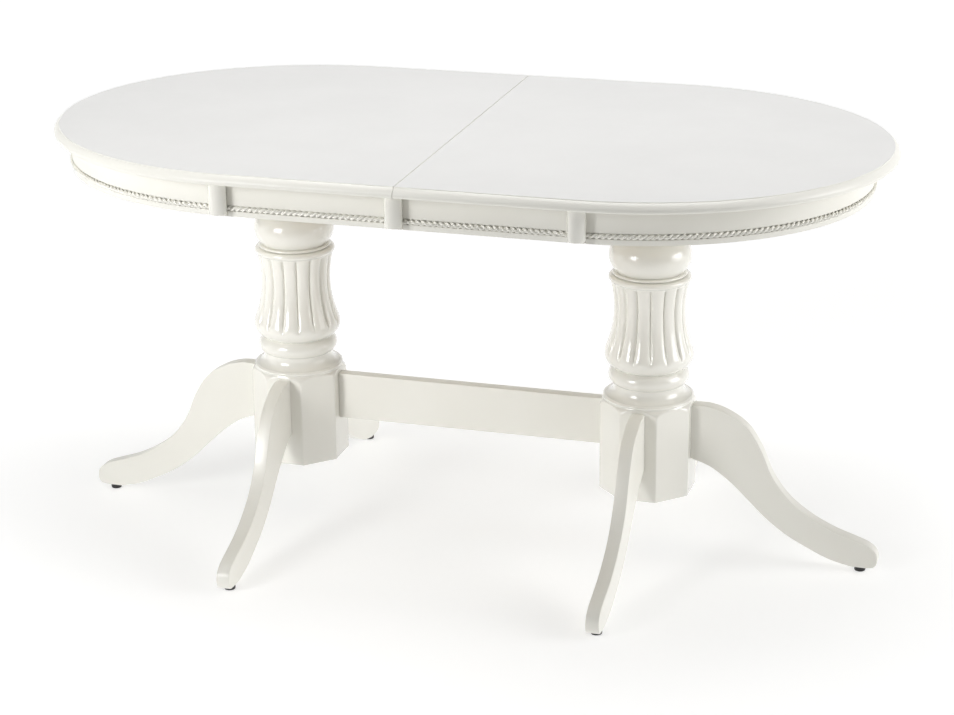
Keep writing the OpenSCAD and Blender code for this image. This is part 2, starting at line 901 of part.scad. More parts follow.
// A latch lever along +X; turned clockwise, its notch closes round the catch's pin
module latch_lever() {
    difference() {
        union() {
            translate([0, 0, latch_top - 9]) cylinder(r = 9, h = 8.5);
            translate([0, 0, latch_top - 7]) linear_extrude(4) {
                translate([0, -6]) square([24, 12]);
                translate([24, 0]) circle(7);
                translate([-28, -5]) square([28, 10]);
            }
            box([-28, -25], [-5, 5], [latch_top - 14, latch_top - 3]);
        }
        translate([0, 0, latch_top - 10]) cylinder(r = pin_r + 0.05, h = 11);
        translate([0, 0, latch_top - 8]) linear_extrude(6) {
            intersection() {
                difference() {
                    circle(latch_reach + notch_r);
                    circle(latch_reach - notch_r);
                }
                translate([0, -20]) square([40, 20]);
            }
            translate([latch_reach, 0]) circle(notch_r);
        }
    }
}

module front_latch() {
    color(steel) translate([latch_x, -latch_y, 0]) rotate(90) latch_lever();
}

module back_latch() {
    color(steel) mirror([0, 1, 0]) translate([latch_x, -latch_y, 0]) rotate(90) latch_lever();
}

left_column();
right_column();
left_front_leg();
left_back_leg();
left_end_leg();
right_front_leg();
right_back_leg();
right_end_leg();
stretcher();
floor_glides();
glide_nails();
frame_bolts();
frame_nuts();
left_top_plate();
right_top_plate();
plate_screws();
left_bearer();
right_bearer();
front_rail();
back_rail();
rail_screws();
pinion_pins();
leaf_lower();
leaf_upper();
leaf_hinges();
leaf_battens();
left_top();
left_front_apron();
left_back_apron();
left_end_apron();
left_posts();
seam_posts();
left_rope();
front_left_runner();
back_left_runner();
left_racks();
left_glue_blocks();
left_screws();
seam_dowels();
latch_plates();
latch_pivots();
right_top();
right_front_apron();
right_back_apron();
right_end_apron();
right_posts();
right_rope();
front_right_runner();
back_right_runner();
right_racks();
right_glue_blocks();
right_screws();
catches();
front_pinion();
back_pinion();
front_latch();
back_latch();
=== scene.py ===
import math

import bmesh
import bpy
from mathutils import Matrix, Vector


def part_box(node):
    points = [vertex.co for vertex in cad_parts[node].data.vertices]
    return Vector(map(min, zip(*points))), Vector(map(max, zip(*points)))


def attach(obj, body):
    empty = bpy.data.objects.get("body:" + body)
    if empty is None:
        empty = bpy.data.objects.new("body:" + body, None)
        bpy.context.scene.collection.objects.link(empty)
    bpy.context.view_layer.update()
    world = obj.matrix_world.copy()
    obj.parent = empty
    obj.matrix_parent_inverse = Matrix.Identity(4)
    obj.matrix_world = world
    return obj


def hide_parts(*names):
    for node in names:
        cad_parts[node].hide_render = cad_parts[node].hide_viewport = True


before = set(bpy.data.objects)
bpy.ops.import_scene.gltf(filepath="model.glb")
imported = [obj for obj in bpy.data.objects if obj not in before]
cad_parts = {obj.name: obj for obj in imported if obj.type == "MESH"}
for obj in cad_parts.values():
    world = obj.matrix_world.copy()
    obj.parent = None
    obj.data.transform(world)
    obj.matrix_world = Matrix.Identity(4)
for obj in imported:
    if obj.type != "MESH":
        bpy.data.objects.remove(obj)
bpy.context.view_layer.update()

MM = 0.001
PI = math.pi
X, Y, Z = 0, 1, 2       # axes


# ---------------------------------------------------------------- the frame's measures

class Table:
    """The sizes that the pieces share, in metres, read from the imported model."""

    top_lo, top_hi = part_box("left_top")
    apron_lo, apron_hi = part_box("left_front_apron")
    right_apron_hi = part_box("right_front_apron")[1]
    end_lo, end_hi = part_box("left_end_apron")
    rope_lo, rope_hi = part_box("left_rope")
    posts_lo, posts_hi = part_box("left_posts")
    block_lo, block_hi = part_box("left_column")

    half_l = -top_lo.x
    half_w = top_hi.y
    top = top_hi.z
    under = top_lo.z
    seam = -top_hi.x
    straight = (right_apron_hi.x - apron_lo.x) / 2      # half the aprons' straight run
    shift = -(right_apron_hi.x + apron_lo.x) / 2        # how far left the aprons and posts stand
    face_y = -apron_lo.y
    face_x = -end_lo.x - shift
    apron_thick = apron_hi.y - apron_lo.y
    apron_bottom = apron_lo.z
    post_r = (posts_hi.x - posts_lo.x) / 2
    post_x = -(posts_lo.x + posts_hi.x) / 2 - shift
    post_out = -posts_lo.y - post_r - face_y            # from the apron's face to a post's centre
    post_bottom = posts_lo.z
    rope_z = (rope_lo.z + rope_hi.z) / 2
    rope_r = (rope_hi.z - rope_lo.z) / 2
    column_x = -(block_lo.x + block_hi.x) / 2
    block_half = (block_hi.y - block_lo.y) / 2
    block_bottom = block_lo.z
    tenon_top = block_hi.z


table = Table()


# ---------------------------------------------------------------- mesh helpers

def make(name, verts, faces, material, body, cad, sharp=35):
    """A finished lacquered piece, smooth shaded with its sharp edges kept. It rides on body and
    stands for the CAD nodes in cad."""
    mesh = bpy.data.meshes.new(name)
    mesh.from_pydata([tuple(v) for v in verts], [], faces)
    mesh.validate()
    mesh.update()
    piece = bpy.data.objects.new(name, mesh)
    bpy.context.collection.objects.link(piece)
    fix_normals(mesh)
    mesh.shade_smooth()
    mesh.set_sharp_from_angle(angle=math.radians(sharp))
    mesh.materials.append(material)
    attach(piece, body)
    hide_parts(*cad)


def fix_normals(mesh):
    """Weld doubled points and turn every face outwards."""
    work = bmesh.new()
    work.from_mesh(mesh)
    bmesh.ops.remove_doubles(work, verts=work.verts, dist=1e-6)
    bmesh.ops.recalc_face_normals(work, faces=work.faces)
    work.to_mesh(mesh)
    work.free()


def skin(rings, closed=True):
    """Vertices and faces of the surface through the rings of points; closed rings get end caps."""
    count = len(rings[0])
    verts = [p for ring in rings for p in ring]
    faces = []
    for i in range(len(rings) - 1):
        for k in range(count if closed else count - 1):
            j = (k + 1) % count
            faces.append((i * count + k, i * count + j, (i + 1) * count + j, (i + 1) * count + k))
    if closed:
        last = (len(rings) - 1) * count
        faces.append(tuple(range(count)))
        faces.append(tuple(last + k for k in range(count)))
    return verts, faces


def mirrored(verts, x=False, y=False):
    """The points mirrored left to right, front to back, or both."""
    sx = -1 if x else 1
    sy = -1 if y else 1
    return [(sx * v[0], sy * v[1], v[2]) for v in verts]


def joined(*parts):
    """Several (verts, faces) pairs as one."""
    verts, faces = [], []
    for v, f in parts:
        start = len(verts)
        verts += v
        faces += [tuple(start + i for i in face) for face in f]
    return verts, faces


def arc(centre, radius, start, end, n):
    """Points on a circle's arc, angles in degrees, both ends included."""
    cx, cy = centre
    step = (end - start) / n
    angles = [math.radians(start + step * i) for i in range(n + 1)]
    return [(cx + radius * math.cos(a), cy + radius * math.sin(a)) for a in angles]


def arc_through(p, q, r, n):
    """Points on the arc from p to r that passes through q, without the last point."""
    (px, py), (qx, qy), (rx, ry) = p, q, r
    d = 2 * (px * (qy - ry) + qx * (ry - py) + rx * (py - qy))
    pp, qq, rr = px * px + py * py, qx * qx + qy * qy, rx * rx + ry * ry
    cx = (pp * (qy - ry) + qq * (ry - py) + rr * (py - qy)) / d
    cy = (pp * (rx - qx) + qq * (px - rx) + rr * (qx - px)) / d
    radius = math.hypot(px - cx, py - cy)
    a = math.atan2(py - cy, px - cx)
    sweep = math.atan2(ry - cy, rx - cx) - a
    sense = -1 if d < 0 else 1
    if sense * sweep < 0:
        sweep += sense * 2 * PI
    steps = [a + sweep * i / n for i in range(n)]
    return [(cx + radius * math.cos(t), cy + radius * math.sin(t)) for t in steps]


def smooth(points, n):
    """A Catmull-Rom curve through the points, n steps from each to the next, without the last."""
    out = []
    for i in range(len(points) - 1):
        p0, p1 = points[max(i - 1, 0)], points[i]
        p2, p3 = points[i + 1], points[min(i + 2, len(points) - 1)]
        for k in range(n):
            t = k / n
            out.append(tuple(
                0.5 * (2 * b + (c - a) * t + (2 * a - 5 * b + 4 * c - d) * t * t
                       + (3 * b - a - 3 * c + d) * t * t * t)
                for a, b, c, d in zip(p0, p1, p2, p3)))
    return out


# ---------------------------------------------------------------- materials

class Nodes:
    """The node tree of a new material or world, with short ways to add to it."""

    def __init__(self, owner):
        owner.use_nodes = True
        self.owner = owner
        self.tree = owner.node_tree
        nodes = self.tree.nodes
        self.shader = nodes.get("Principled BSDF") or nodes["Background"]

    def add(self, kind, **values):
        """A new node; each value sets one of its properties or one of its inputs."""
        node = self.tree.nodes.new(kind)
        for key, value in values.items():
            if hasattr(node, key):
                setattr(node, key, value)
            else:
                node.inputs[key.replace("_", " ")].default_value = value
        return node

    def link(self, source, target):
        self.tree.links.new(source, target)

    def place(self, scale=(1, 1, 1)):
        """Object coordinates, stretched by scale."""
        where = self.add("ShaderNodeTexCoord")
        mapping = self.add("ShaderNodeMapping")
        mapping.inputs["Scale"].default_value = scale
        self.link(where.outputs["Object"], mapping.inputs["Vector"])
        return mapping.outputs["Vector"]

    def noise(self, vector, scale, detail, roughness=0.5):
        """Noise with scale features to a metre."""
        node = self.add("ShaderNodeTexNoise", Scale=scale, Detail=detail, Roughness=roughness)
        self.link(vector, node.inputs["Vector"])
        return node.outputs["Fac"]

    def ramp(self, fac, *stops):
        """A colour ramp; each stop is (position, colour or grey)."""
        node = self.add("ShaderNodeValToRGB")
        while len(node.color_ramp.elements) < len(stops):
            node.color_ramp.elements.new(0.5)
        for element, (position, colour) in zip(node.color_ramp.elements, stops):
            element.position = position
            rgb = (colour,) * 3 if isinstance(colour, (int, float)) else colour
            element.color = (*rgb, 1)
        self.link(fac, node.inputs["Fac"])
        return node.outputs["Color"]

    def bump(self, height, strength, distance, below=None):
        """Relief that is distance high, on top of the relief below."""
        node = self.add("ShaderNodeBump", Strength=strength, Distance=distance)
        self.link(height, node.inputs["Height"])
        if below is not None:
            self.link(below, node.inputs["Normal"])
        return node.outputs["Normal"]

    def split(self, vector):
        """The X, Y and Z parts of a vector."""
        node = self.add("ShaderNodeSeparateXYZ")
        self.link(vector, node.inputs["Vector"])
        return node.outputs

    def math(self, operation, a, b):
        """The sum, product or other operation of two sockets."""
        node = self.add("ShaderNodeMath", operation=operation)
        self.link(a, node.inputs[0])
        self.link(b, node.inputs[1])
        return node.outputs["Value"]

    def mix(self, a, b, factor, blend="MIX"):
        """Colour a turning into colour b; each of the three is a constant or a socket."""
        node = self.add("ShaderNodeMix", data_type="RGBA", blend_type=blend)
        for key, value in (("A", a), ("B", b), ("Factor", factor)):
            if isinstance(value, bpy.types.NodeSocket):
                self.link(value, node.inputs[key])
            else:
                node.inputs[key].default_value = value
        return node.outputs["Result"]

    def set(self, **values):
        """Constant values on the shader itself."""
        for key, value in values.items():
            self.shader.inputs[key.replace("_", " ")].default_value = value

    def wire(self, **sockets):
        """Sockets that drive the shader's inputs."""
        for key, socket in sockets.items():
            self.link(socket, self.shader.inputs[key.replace("_", " ")])


def new_material(name):
    return Nodes(bpy.data.materials.new(name))


def stretched(axis, factor):
    """A scale that draws a pattern out along one axis."""
    scale = [1, 1, 1]
    scale[axis] = factor
    return scale


def lacquer(name, light, shade, rough, grain_axis, grain=0.35, gloss=0.25, edges=None):
    """Sprayed satin lacquer over wood: faint grain, faint orange peel, faint colour drift.
    Faces that do not lie flat take the colour given as edges, where one is given: a painted shade,
    warmer than the upper face, that stands in for the warm shade on a thing's sides."""
    m = new_material(name)
    plain = m.place()
    drift = m.noise(plain, 7.0, 2.0)            # 140 mm across
    colour = m.ramp(drift, (0.35, shade), (0.65, light))
    # painted light and shade: faces that face up keep the cooler lit colour, the others take the
    # warmer painted shade
    if edges:
        facing = m.split(m.add("ShaderNodeNewGeometry").outputs["Normal"])
        flat = m.ramp(facing["Z"], (0.9, 0.0), (0.97, 1.0))
        colour = m.mix((*edges, 1), colour, flat)
    patch = m.noise(plain, 60.0, 3.0)           # 17 mm
    roughness = m.ramp(patch, (0.3, rough - 0.03), (0.7, rough + 0.04))
    fibres = m.noise(m.place(stretched(grain_axis, 0.06)), 900.0, 4.0, 0.6)     # 1 by 18 mm
    peel = m.noise(plain, 420.0, 2.0)           # 2.4 mm
    relief = m.bump(peel, 0.22, 0.16 * MM, m.bump(fibres, grain, 0.12 * MM))
    m.wire(Base_Color=colour, Roughness=roughness, Normal=relief)
    m.set(Specular_IOR_Level=0.5, Coat_Weight=gloss, Coat_Roughness=0.18)
    return m.owner


def bare_wood(name, light, dark, grain_axis):
    """Unfinished beech: fine streaks along the piece and short dark flecks."""
    m = new_material(name)
    along = m.place(stretched(grain_axis, 0.05))
    streaks = m.noise(along, 160.0, 6.0, 0.65)  # 6 by 125 mm
    flecks = m.noise(along, 1400.0, 2.0)        # 0.7 by 14 mm
    colour = m.mix(m.ramp(streaks, (0.3, dark), (0.7, light)),
                   m.ramp(flecks, (0.35, 0.62), (0.5, 1.0)), 0.35, "MULTIPLY")
    m.wire(Base_Color=colour, Roughness=m.ramp(streaks, (0.3, 0.62), (0.7, 0.5)),
           Normal=m.bump(streaks, 0.4, 0.3 * MM))
    return m.owner


def zinc_steel():
    """Zinc-plated steel: spangled tint and fine machining lines."""
    m = new_material("zinc_steel")
    dark, light = (0.50, 0.51, 0.52), (0.66, 0.67, 0.66)
    spangle = m.noise(m.place(), 240.0, 2.0)                    # 4 mm across
    lines = m.noise(m.place(stretched(Z, 14)), 500.0, 2.0)      # 2 mm long, 0.14 mm high
    m.wire(Base_Color=m.ramp(spangle, (0.3, dark), (0.7, light)),
           Roughness=m.ramp(lines, (0.3, 0.24), (0.7, 0.38)),
           Normal=m.bump(lines, 0.15, 0.1 * MM))
    m.set(Metallic=1.0)
    return m.owner


def moulded_black():
    """Black moulded plastic with a fine spark-eroded texture."""
    m = new_material("black_plastic")
    dark, light = (0.010, 0.010, 0.011), (0.024, 0.024, 0.025)
    grit = m.noise(m.place(), 1800.0, 2.0)      # 0.6 mm across
    m.wire(Base_Color=m.ramp(grit, (0.3, dark), (0.7, light)),
           Roughness=m.ramp(grit, (0.3, 0.28), (0.7, 0.42)),
           Normal=m.bump(grit, 0.3, 0.1 * MM))
    return m.owner


WARM = (0.85, 0.838, 0.778)
WARM_SHADE = (0.83, 0.816, 0.752)
COOL = (0.848, 0.843, 0.826)
COOL_SHADE = (0.828, 0.823, 0.806)
# the top's upper face in the cooler white as painted light, its other faces in WARM as painted warm
# shade
WHITE_TOP = lacquer("lacquer_top", COOL, COOL_SHADE, 0.36, X, grain=0.25, edges=WARM)
WHITE_X = lacquer("lacquer_along_x", WARM, WARM_SHADE, 0.32, X)
WHITE_Y = lacquer("lacquer_along_y", WARM, WARM_SHADE, 0.32, Y)
WHITE_TURNED = lacquer("lacquer_turned", WARM, WARM_SHADE, 0.17, Z, grain=0.2, gloss=1.0)
BEECH = (0.72, 0.53, 0.34)
BEECH_DARK = (0.55, 0.37, 0.21)
WOOD_X = bare_wood("beech_along_x", BEECH, BEECH_DARK, X)
WOOD_Y = bare_wood("beech_along_y", BEECH, BEECH_DARK, Y)
STEEL = zinc_steel()
BLACK = moulded_black()


# ---------------------------------------------------------------- paths round the table

def end_point(reach, half_width, angle):
    """Place and outward direction on the left end's half ellipse, which starts where the straight
    run ends."""
    c, s = math.cos(angle), math.sin(angle)
    out = Vector((c / reach, s / half_width, 0)).normalized()
    return Vector((-table.straight + reach * c, half_width * s, 0)), out


def end_path(reach, half_width, first, last, n):
    """The left end's curve between two angles, clockwise from the front to the back."""
    return [end_point(reach, half_width, first + (last - first) * i / n) for i in range(n + 1)]


def side_path(x0, x1, y, n):
    """A straight run along the front."""
    return [(Vector((x0 + (x1 - x0) * i / n, -y, 0)), Vector((0, -1, 0))) for i in range(n + 1)]


def sweep(path, section):
    """Rings of the closed section, given as (outwards, height), along the path."""
    return [[p + out * d + Vector((0, 0, z)) for d, z in section] for p, out in path]


# ---------------------------------------------------------------- the top

def edge_section():
    """The top's moulded edge as (inwards, height above the underside), from the top down: the flat
    top and its small step, the nose, and the rounded lower edge."""
    thick = table.top - table.under
    lip_in = 10 * MM
    step_in = lip_in - 0.8 * MM
    nose_start = (step_in, thick - 1.3 * MM)
    nose_mid = (3.8 * MM, thick - 5.3 * MM)
    nose_end = (0.1 * MM, thick - 10.8 * MM)
    round_in, round_up = 3.4 * MM, 4.5 * MM
    lip = [(lip_in + 1 * MM, thick), (lip_in, thick), (lip_in - 0.5 * MM, thick - 0.15 * MM),
           (step_in, thick - 0.55 * MM), nose_start]
    nose = arc_through(nose_start, nose_mid, nose_end, 12)
    under = [(round_in * (1 - math.cos(t)), round_up * (1 - math.sin(t)))
             for t in [math.radians(15 * i) for i in range(7)]]
    return lip + nose[1:] + [nose_end, (0.0, 6.5 * MM)] + under


def half_top(side):
    """Half of the oval top, its seam's edges eased by a small arris."""
    arris = 0.5 * MM
    section = edge_section()
    bottom_z, top_z = section[-1][1], section[0][1]
    seam_x = -table.seam
    reach = table.half_l - table.straight
    to_front, to_back = Vector((0, -1, 0)), Vector((0, 1, 0))

    def ring(p, out, drawn=0):
        low, high = bottom_z + drawn, top_z - drawn
        return [p - out * (d + drawn) + Vector((0, 0, table.under + min(max(z, low), high)))
                for d, z in section]

    side_xs = (seam_x - arris, -table.straight / 2)
    path = [(Vector((x, -table.half_w, 0)), to_front) for x in side_xs]
    path += end_path(reach, table.half_w, -PI / 2, -3 * PI / 2, 150)
    path += [(Vector((x, table.half_w, 0)), to_back) for x in reversed(side_xs)]
    rings = [ring(Vector((seam_x, -table.half_w, 0)), to_front, arris)]
    rings += [ring(p, out) for p, out in path]
    rings += [ring(Vector((seam_x, table.half_w, 0)), to_back, arris)]
    verts, faces = skin(rings, closed=False)
    n, last = len(section), len(rings) - 1
    for k in (0, n - 1):
        faces.append(tuple(i * n + k for i in range(1, last)))
        faces.append((k, n + k, (last - 1) * n + k, last * n + k))
    faces.append(tuple(range(n)) + tuple(last * n + k for k in reversed(range(n))))
    verts = mirrored(verts, x=side == "right")
    make(f"top_half_{side}", verts, faces, WHITE_TOP, f"{side}_half", [f"{side}_top"], sharp=30)


half_top("left")
half_top("right")


# ---------------------------------------------------------------- aprons, posts and rope

CHANNEL = 3 * MM                        # how deep the rope's channel is
CHANNEL_HALF = table.rope_r + 0.2 * MM  # half its height
ROPE_IN = 1 * MM                        # how far behind the apron's face the rope's axis lies
RUN_GAP = 0.3 * MM                      # how far the ropes and the other half keep off a post
SHADOW_GAP = 2.2 * MM                   # how much of a shadow groove shows beside its post
SHADOW_LAP = 0.2 * MM                   # how much of it lies behind the post
SHADOW_DEPTH = 5 * MM


def framed(part, mirror_x, mirror_y=False):
    """A piece of a left half's frame, mirrored as asked and moved to where the frame stands."""
    verts, faces = part
    return [(v[0] - table.shift, v[1], v[2]) for v in mirrored(verts, mirror_x, mirror_y)], faces


def apron_section():
    """The apron's section as (outwards from its face, height), round its rope channel."""
    ease = 1.2 * MM
    low, high = table.apron_bottom, table.under
    z0, z1 = table.rope_z - CHANNEL_HALF, table.rope_z + CHANNEL_HALF
    lip = 0.3 * MM
    return [
        (-ease, low), (-0.3 * ease, low + 0.3 * ease), (0, low + ease),
        (0, z0 - lip), (-lip, z0), (-CHANNEL, z0 + lip),
        (-CHANNEL, z1 - lip), (-lip, z1), (0, z1 + lip),
        (0, high), (-table.apron_thick, high), (-table.apron_thick, low + ease),
        (-table.apron_thick + ease, low),
    ]


def grooved_rings(place, stops, grooves):
    """Rings of the apron's section at the stops along place(t), with an upright groove let into
    its face between the two ends of each pair in grooves."""
    section = apron_section()
    cut = [(min(d, -SHADOW_DEPTH), z) for d, z in section]
    marks = [(t, section) for t in stops]
    for start, end in grooves:
        wall = (end - start) / 50
        marks = [(t, outline) for t, outline in marks if t < start or t > end]
        marks += [(start, section), (start + wall, cut), (end - wall, cut), (end, section)]
    marks.sort(key=lambda mark: mark[0])
    return [sweep([place(t)], outline)[0] for t, outline in marks]


def aprons(side):
    """A half's aprons: two straight boards and the bent one. A narrow shadow groove runs beside
    the foot of each post."""
    right = side == "right"
    to_seam = table.seam + table.shift if right else table.seam - table.shift
    foot = math.sqrt(table.post_r ** 2 - table.post_out ** 2)
    near, far = foot - SHADOW_LAP, foot + SHADOW_GAP

    def on_side(x):
        return Vector((x, -table.face_y, 0)), Vector((0, -1, 0))

    straight = skin(grooved_rings(
        on_side, (-table.straight, -to_seam),
        [(-table.post_x + near, -table.post_x + far), (-far, -near)]))
    for place, back in (("front", False), ("back", True)):
        make(f"{side}_{place}_apron_board", *framed(straight, right, back),
             WHITE_X, f"{side}_half", [f"{side}_{place}_apron"])

    reach = table.face_x - table.straight

    def on_end(turn):
        return end_point(reach, table.face_y, -turn)

    start, end = [PI / 2 + math.asin((table.post_x + d - table.straight) / reach)
                  for d in (near, far)]
    stops = [PI / 2 + PI * i / 120 for i in range(121)]
    bend = skin(grooved_rings(on_end, stops, [(start, end), (2 * PI - end, 2 * PI - start)]))
    make(f"{side}_end_apron_bent", *framed(bend, right), WHITE_Y, f"{side}_half",
         [f"{side}_end_apron"])


def post(x, seam_at=None):
    """A round post, its back cut flat on the front apron's face and its foot's edge eased; past
    the seam it stands a little off the other half."""
    ease = 1.6 * MM
    height = table.under - table.post_bottom
    centre_y = -table.face_y - table.post_out
    rim = arc((0, 0), 1.0, 180 - 50, 360 + 50, 40)
    rings = []
    for drawn, z in ((ease, 0), (0.45 * ease, 0.12 * ease), (0.12 * ease, 0.45 * ease),
                     (0, ease), (0, height)):
        ring = []
        for px, py in rim:
            px = x + (table.post_r - drawn) * px
            py = centre_y + (table.post_r - drawn) * py
            gap = RUN_GAP if seam_at is not None and px > seam_at else 0
            ring.append(Vector((px, min(py, -table.face_y - gap), table.post_bottom + z)))
        rings.append(ring)
    return skin(rings)


def both_sides(part):
    """The piece and its copy on the table's back."""
    verts, faces = part
    return joined((verts, faces), (mirrored(verts, y=True), faces))


def posts():
    """The posts, front and back: one at each end of the straight run and one over the seam."""
    for side, x in (("left", -table.post_x), ("right", table.post_x)):
        make(f"{side}_round_posts", *framed(both_sides(post(x)), False), WHITE_TURNED,
             f"{side}_half", [f"{side}_posts"])
    seam_post = post(0, seam_at=table.shift - table.seam)
    make("seam_round_posts", *framed(both_sides(seam_post), False), WHITE_TURNED,
         "left_half", ["seam_posts"])


STRANDS = 2
STRAND_PITCH = 10 * MM      # from one strand's crest to the next, along the rope


def rope_run(path):
    """A twisted rope along the path, which is given as points with outward directions."""
    turn = STRANDS * STRAND_PITCH
    share = 2 * PI / STRANDS
    strand_at, strand_r = 0.45 * table.rope_r, 0.55 * table.rope_r      # a strand's centre and radius
    around = 28
    rings = []
    travelled = 0.0
    for i, (p, out) in enumerate(path):
        if i:
            travelled += (p - path[i - 1][0]).length
        twist = 2 * PI * travelled / turn
        ring = []
        for k in range(around):
            angle = -PI / 2 + 2 * PI * k / around
            off_crest = (angle - twist) % share
            off_crest = min(off_crest, share - off_crest)
            reach = strand_at * math.cos(off_crest)
            reach += math.sqrt(max(strand_r ** 2 - (strand_at * math.sin(off_crest)) ** 2, 0))
            forward = max(-ROPE_IN + reach * math.cos(angle), -CHANNEL)
            up = Vector((0, 0, table.rope_z + reach * math.sin(angle)))
            ring.append(p + out * forward + up)
        rings.append(ring)
    return skin(rings)


def ropes():
    """The rope in each half's channel: from the seam post to the end post on both sides, and
    round the end."""
    step = STRAND_PITCH / 12
    rope_front = table.post_out - table.rope_r + ROPE_IN
    past_post = math.sqrt(table.post_r ** 2 - rope_front ** 2) + RUN_GAP
    start = -table.post_x + past_post
    end = -past_post
    reach, half_width = table.face_x - table.straight, table.face_y
    first = -PI / 2 - math.asin((table.post_x + past_post - table.straight) / reach)
    last = -2 * PI - first
    curve = PI * (reach + half_width) / 2
    front = rope_run(side_path(start, end, table.face_y, round((end - start) / step)))
    bend = rope_run(end_path(reach, half_width, first, last, round(curve / step)))
    for side in ("left", "right"):
        right = side == "right"
        parts = framed(front, right), framed(front, right, True), framed(bend, right)
        make(f"{side}_rope_moulding", *joined(*parts), WHITE_X, f"{side}_half",
             [f"{side}_rope"], sharp=60)


aprons("left")
aprons("right")
posts()
ropes()


# ---------------------------------------------------------------- turned columns

REEDS = 16
FLUTE_TOP, FLUTE_FOOT = 506.5, 371.0        # heights between which the vase is reeded, in mm
FLUTE_DEPTH = 5.2
FADE_TOP, FADE_FOOT = 3, 16                 # over how many mm the flutes reach their full depth
BLOCK_SHOULDER = 291                        # below this height the round runs into the octagon


def column_rows():
    """The turned outline from the tenon down to the block, as (radius, height) in mm."""
    top = table.tenon_top / MM
    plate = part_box("left_top_plate")[0].z / MM
    tenon = [(30, top), (30, plate), (60, plate), (60, 604), (54, 600), (54, 586)]
    ball = arc_through((60, 525.4), (72.5, 553), (60, 583), 30)
    bead = arc_through((62.6, 520), (66, 522.4), (62.6, 524.8), 8)
    ring = arc_through((68.6, 508.2), (72.5, 513), (66.4, 519), 16)
    vase_foot = arc_through((62.6, 350), (77.5, 366), (77, 382), 30)
    vase_neck = arc_through((77, 382), (63, 449), (69, 507), 70)
    lower_ring = arc_through((62.6, 319.8), (71.5, 334), (62.6, 348.4), 22)
    bell = arc_through((77.4, 298.4), (67, 303), (62.8, 318), 14)
    fillet = [(78, 297.6), (80, 296.6), (80.5, 295.6), (80.5, 293.4), (80, 292.6), (79.4, 292)]
    shoulder = [(80, 290), (81.6, 288.8), (83.2, 287), (84.6, 284.8), (85.8, 282), (86.4, 280)]
    rows = tenon + ball[::-1] + [(59.6, 525)] + bead[::-1] + [(62.4, 519.4)]
    rows += ring[::-1] + [(68.2, 507.6)] + vase_neck[::-1] + vase_foot[::-1] + [(61.8, 349)]
    rows += lower_ring[::-1] + [(62.2, 319)] + bell[::-1] + fillet + shoulder
    return rows


def flute_depth(height):
    """How deep the grooves between the reeds are at this height, in mm."""
    if height >= FLUTE_TOP or height <= FLUTE_FOOT:
        return 0.0
    top_fade = min(1.0, (FLUTE_TOP - height) / FADE_TOP)
    foot_fade = min(1.0, (height - FLUTE_FOOT) / FADE_FOOT)
    return FLUTE_DEPTH * math.sqrt(top_fade) * foot_fade ** 0.7


def reeded(radius, height, angle, phase):
    """The radius at an angle: broad round reeds with narrow grooves between them."""
    depth = flute_depth(height)
    pitch = 2 * PI / REEDS
    u = abs(((angle - phase) / pitch) % 1 - 0.5) * 2        # 0 on a reed's crest, 1 in a groove
    return radius - depth * (0.62 * u ** 2.4 + 0.38 * u ** 10)


def block_radius(angle):
    """The octagonal block's radius, in mm, with its upright edges rounded."""
    flat = table.block_half / MM
    fillet = 2.2
    turn = (angle + PI / 8) % (PI / 4) - PI / 8
    reach = (flat - fillet) * math.tan(PI / 8)
    if abs(math.tan(turn)) * flat <= reach:
        return flat / math.cos(turn)
    off_edge = PI / 8 - abs(turn)
    centre = (flat - fillet) / math.cos(PI / 8)
    aside = centre * math.sin(off_edge)
    return centre * math.cos(off_edge) + math.sqrt(fillet ** 2 - aside ** 2)


def square_radius(angle, half):
    """The radius of a square with the given half width."""
    turn = (angle + PI / 4) % (PI / 2) - PI / 4
    return half / math.cos(turn)


def soft_min(a, b, blend):
    """The lower of a and b, with a smooth turn where they differ by less than blend."""
    h = max(blend - abs(a - b), 0) / blend
    return min(a, b) - h * h * blend / 4


def column(side, phase):
    """A turned and reeded column that runs out into its octagonal block, with the square cavity
    for the leg bolts in the block's underside."""
    around = 20 * REEDS
    low = table.block_bottom / MM
    cavity_half, cavity_top = 42.0, 266.0
    centre_x = -table.column_x if side == "left" else table.column_x
    rings = []

    def ring(radius_at, z):
        points = []
        for k in range(around):
            angle = 2 * PI * k / around
            radius = radius_at(angle) * MM
            points.append(Vector((centre_x + radius * math.cos(angle),
                                  radius * math.sin(angle), z * MM)))
        rings.append(points)

    for r, z in column_rows():
        if z > BLOCK_SHOULDER:
            ring(lambda a: reeded(r, z, a, phase), z)
        else:
            ring(lambda a: soft_min(r, block_radius(a), 0.3), z)
    # the spare rings keep the block's faces flat in their shading
    straight = [(0, 272), (0, 240), (0, 180), (0, low + 3)]
    eased_foot = [(0.3, low + 1.6), (1.0, low + 0.6), (2.2, low)]
    for drawn, z in straight + eased_foot:
        ring(lambda a: block_radius(a) - drawn, z)
    ring(lambda a: square_radius(a, cavity_half), low)
    ring(lambda a: square_radius(a, cavity_half), cavity_top)
    make(f"{side}_turned_column", *skin(rings), WHITE_TURNED, "base", [f"{side}_column"],
         sharp=42)


column("left", 0.0)
column("right", math.radians(14.5))         # turned in its socket, so its reeds lie otherwise


# ---------------------------------------------------------------- legs and stretcher

# A leg's upper and lower curve, as (distance from the column's axis, height) in mm
LEG_BACK = [(76, 284.4), (95, 285.4), (115, 284.4), (145, 275), (180, 252), (206, 213),
            (226, 167), (255, 127), (293, 97), (335, 75), (375, 61), (399, 52), (413, 41),
            (417, 29), (416, 18), (410, 11), (399, 9)]
LEG_BELLY = [(370, 9), (330, 19), (290, 37), (250, 59), (215, 86), (182, 118), (152, 146),
             (122, 168), (100, 178), (76, 185)]
LEG_TOE = max(x for x, z in LEG_BACK)
LEG_EASE = 1.6 * MM     # radius of a leg's rounded edges
LEG_RIM = 0.6 * MM      # a flat rim inside them, so that the board's faces shade flat


